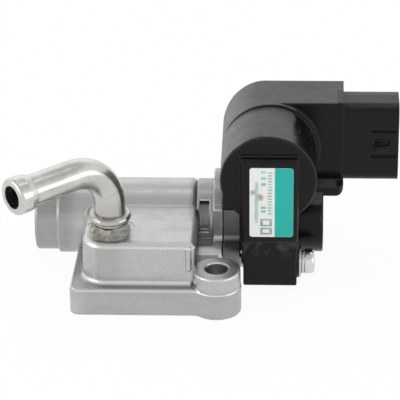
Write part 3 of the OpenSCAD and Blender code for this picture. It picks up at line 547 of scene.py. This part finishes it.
# Waves round the pipe: count, share of the twist, start and height
FOOT_WAVES = ((5, 0, 0.4, 1), (9, 0, 1.9, 0.7))
TOP_WAVES = ((4, 0, 2.2, 1), (7, 0, 0.3, 0.8))
RIM_WAVES = ((3, 0, 1.1, 0.6), (8, 0, 2.6, 0.4))
LUMP_WAVES = ((6, 1, 0.2, 1), (11, -1.4, 1.3, 0.8), (3, 1.7, 2.0, 0.9))
FOOT_SWELL, TOP_SWELL, LUMP_SWELL = 0.00016, 0.00012, 0.00026  # heights of these waves


def ripple(a, waves, turn=0.0):
    """Sum of fixed waves at the angle a round the pipe."""
    return sum(h * math.sin(n * a + k * turn + p) for n, k, p, h in waves)


def sealant():
    """The lumpy bead of sealant round the pipe's foot, thicker towards the front left."""
    verts, faces = [], []
    for i in range(AROUND):
        a = 2 * math.pi * i / AROUND
        lean = 0.5 + 0.5 * math.cos(a - math.radians(LEAN_TURN))
        low = FOOT_R + LEAN * lean + FOOT_SWELL * ripple(a, FOOT_WAVES)
        high = TOP_R + TOP_SWELL * ripple(a, TOP_WAVES)
        rim = TOP_Z - RIM_DROP * (1 + ripple(a, RIM_WAVES))
        for j in range(STEPS + 1):
            t = j / STEPS
            if t < SIDE_SHARE:
                s = t / SIDE_SHARE
                z = FOOT_Z + (rim - FOOT_Z) * s
                r = low + (high - low) * min(1.0, s * TAPER_RATE) ** TAPER_POWER
                r += LUMP_SWELL * math.sin(math.pi * s) * ripple(a, LUMP_WAVES, TWIST * z)
            else:
                s = (t - SIDE_SHARE) / (1 - SIDE_SHARE)
                z = rim + CROWN * math.sin(math.pi * s)
                r = high + (PIPE_R - high) * s
            verts.append((PIPE_X + r * math.cos(a), PIPE_Y + r * math.sin(a), z))
    n = STEPS + 1
    for i in range(AROUND):
        k = (i + 1) % AROUND
        for j in range(STEPS):
            faces.append((i * n + j, k * n + j, k * n + j + 1, i * n + j + 1))
    mesh = bpy.data.meshes.new("sealant_bead")
    mesh.from_pydata(verts, [], faces)
    mesh.polygons.foreach_set("use_smooth", [True] * len(mesh.polygons))
    mesh.materials.append(SLOTS["sealant"].mat)
    obj = bpy.data.objects.new("sealant_bead", mesh)
    scene.collection.objects.link(obj)
    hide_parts("pipe_sealant")
    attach(obj, "housing")


sealant()

# Stage
FLOOR_HALF = 3.0  # half the floor's side
FLOOR_DROP = 0.0001  # how far the floor lies under the part
FLOOR_TONE = (0.94, 0.94, 0.94, 1.0)
FLOOR_WHITE = 0.94  # share of plain white on the floor for direct views: the rest shows the shadow
WHITE = (1.0, 1.0, 1.0, 1.0)
SKY_LIGHT = 0.80  # strength of the light that comes from all round
CEILING = 0.68  # strength of the reflected ceiling, where its surround has 1
# The ceiling's edges, as steps along an axis of the direction
CEILING_EDGES = (("Z", 0.50, 0.80), ("Y", 0.78, 0.55))
LAMP_AIM = Vector((0.0, 0.0, 0.02))
# Lamps: name, place, size and power in watts
LAMPS = (
    ("back_soft", (-0.3, 1.6, 0.75), (2.4, 1.1), 2.6),
    ("left_soft", (-1.4, -0.4, 0.6), (1.0, 1.2), 3.2),
    ("top_strip", (0.05, 0.20, 0.80), (0.6, 0.10), 0.35),
    ("left_strip", (-0.75, -0.45, 0.35), (0.08, 0.5), 0.9),
    ("right_soft", (1.2, -0.34, 0.24), (0.9, 0.55), 1.9),
    ("right_strip", (0.80, -0.55, 0.45), (0.06, 0.4), 0.3),
)


def math_node(tree, op, a, b):
    """A math node's result, from two sockets or from a socket and a number."""
    n = tree.nodes.new("ShaderNodeMath")
    n.operation = op
    tree.links.new(a, n.inputs[0])
    if isinstance(b, bpy.types.NodeSocket):
        tree.links.new(b, n.inputs[1])
    else:
        n.inputs[1].default_value = b
    return n.outputs[0]


def seen_directly(tree):
    """1 for camera, mirror and transmission rays, which all see the backdrop white."""
    path = tree.nodes.new("ShaderNodeLightPath")
    value = path.outputs["Is Camera Ray"]
    for name in ("Is Glossy Ray", "Is Transmission Ray"):
        value = math_node(tree, "MAXIMUM", value, path.outputs[name])
    return value


def split_shader(tree, share, plain, direct, output):
    """Join two shaders: direct for the share of the rays given, plain for the rest."""
    mixer = tree.nodes.new("ShaderNodeMixShader")
    tree.links.new(share, mixer.inputs["Fac"])
    tree.links.new(plain.outputs[0], mixer.inputs[1])
    tree.links.new(direct.outputs[0], mixer.inputs[2])
    tree.links.new(mixer.outputs[0], tree.nodes.new(output).inputs["Surface"])


def ceiling(tree):
    """1 all round and at the back, less high up in front, where the studio's ceiling is dim."""
    aim = tree.nodes.new("ShaderNodeSeparateXYZ")
    tree.links.new(tree.nodes.new("ShaderNodeTexCoord").outputs["Generated"], aim.inputs[0])
    shares = []
    for axis, start, end in CEILING_EDGES:
        step = tree.nodes.new("ShaderNodeMapRange")
        step.interpolation_type = "SMOOTHSTEP"
        step.inputs["From Min"].default_value = start
        step.inputs["From Max"].default_value = end
        tree.links.new(aim.outputs[axis], step.inputs["Value"])
        shares.append(step.outputs["Result"])
    level = tree.nodes.new("ShaderNodeMapRange")
    tree.links.new(math_node(tree, "MULTIPLY", *shares), level.inputs["Value"])
    level.inputs["To Min"].default_value = 1.0
    level.inputs["To Max"].default_value = CEILING
    return level.outputs["Result"]


def floor():
    """A pale floor that looks white and keeps the part's shadow."""
    h = FLOOR_HALF
    z = cad_box[0][2] - FLOOR_DROP
    mesh = bpy.data.meshes.new("floor")
    mesh.from_pydata([(-h, -h, z), (h, -h, z), (h, h, z), (-h, h, z)], [], [(0, 1, 2, 3)])
    obj = bpy.data.objects.new("floor", mesh)
    scene.collection.objects.link(obj)
    mat = bpy.data.materials.new("floor_paper")
    mat.use_nodes = True
    tree = mat.node_tree
    tree.nodes.clear()
    diffuse = tree.nodes.new("ShaderNodeBsdfDiffuse")
    diffuse.inputs["Color"].default_value = FLOOR_TONE
    glow = tree.nodes.new("ShaderNodeEmission")
    glow.inputs["Color"].default_value = WHITE
    share = math_node(tree, "MULTIPLY", seen_directly(tree), FLOOR_WHITE)
    split_shader(tree, share, diffuse, glow, "ShaderNodeOutputMaterial")
    mesh.materials.append(mat)


def studio():
    """Even light from all round, and a white backdrop for what sees it directly."""
    world = bpy.data.worlds.new("studio")
    scene.world = world
    world.use_nodes = True
    tree = world.node_tree
    tree.nodes.clear()
    soft = tree.nodes.new("ShaderNodeBackground")
    soft.inputs["Color"].default_value = WHITE
    soft.inputs["Strength"].default_value = SKY_LIGHT
    backdrop = tree.nodes.new("ShaderNodeBackground")
    backdrop.inputs["Color"].default_value = WHITE
    tree.links.new(ceiling(tree), backdrop.inputs["Strength"])
    split_shader(tree, seen_directly(tree), soft, backdrop, "ShaderNodeOutputWorld")


def lamp(name, place, size, power):
    data = bpy.data.lights.new(name, "AREA")
    data.shape = "RECTANGLE"
    data.size, data.size_y = size
    data.energy = power
    obj = bpy.data.objects.new(name, data)
    scene.collection.objects.link(obj)
    obj.location = place
    obj.rotation_euler = (LAMP_AIM - Vector(place)).to_track_quat("-Z", "Y").to_euler()


floor()
studio()
for row in LAMPS:
    lamp(*row)

# Camera, fitted to the photograph
AZIMUTH, ELEVATION, ROLL = math.radians(2.3), math.radians(27.8), math.radians(-0.6)
DISTANCE = 0.7353  # from the camera to the point that it looks at
LOOK_AT = Vector((-0.00566, 0.0, 0.0188))
PHOTO_PX, FOCAL_PX = 400.0, 2500.0  # width of the photograph and focal length, in its pixels
SENSOR = 36.0  # width of the sensor in millimetres


def camera():
    view = Vector((-math.sin(AZIMUTH) * math.cos(ELEVATION), math.cos(AZIMUTH) * math.cos(ELEVATION),
                   -math.sin(ELEVATION)))
    level = Vector((math.cos(AZIMUTH), math.sin(AZIMUTH), 0.0))
    tall = level.cross(view)
    right = level * math.cos(ROLL) + tall * math.sin(ROLL)
    up = tall * math.cos(ROLL) - level * math.sin(ROLL)
    place = LOOK_AT - DISTANCE * view
    data = bpy.data.cameras.new("camera")
    data.sensor_width = SENSOR
    data.lens = FOCAL_PX / PHOTO_PX * SENSOR
    data.clip_start = 0.01
    data.clip_end = 20.0
    obj = bpy.data.objects.new("camera", data)
    scene.collection.objects.link(obj)
    obj.matrix_world = Matrix((
        (right.x, up.x, -view.x, place.x),
        (right.y, up.y, -view.y, place.y),
        (right.z, up.z, -view.z, place.z),
        (0, 0, 0, 1)))
    scene.camera = obj


camera()
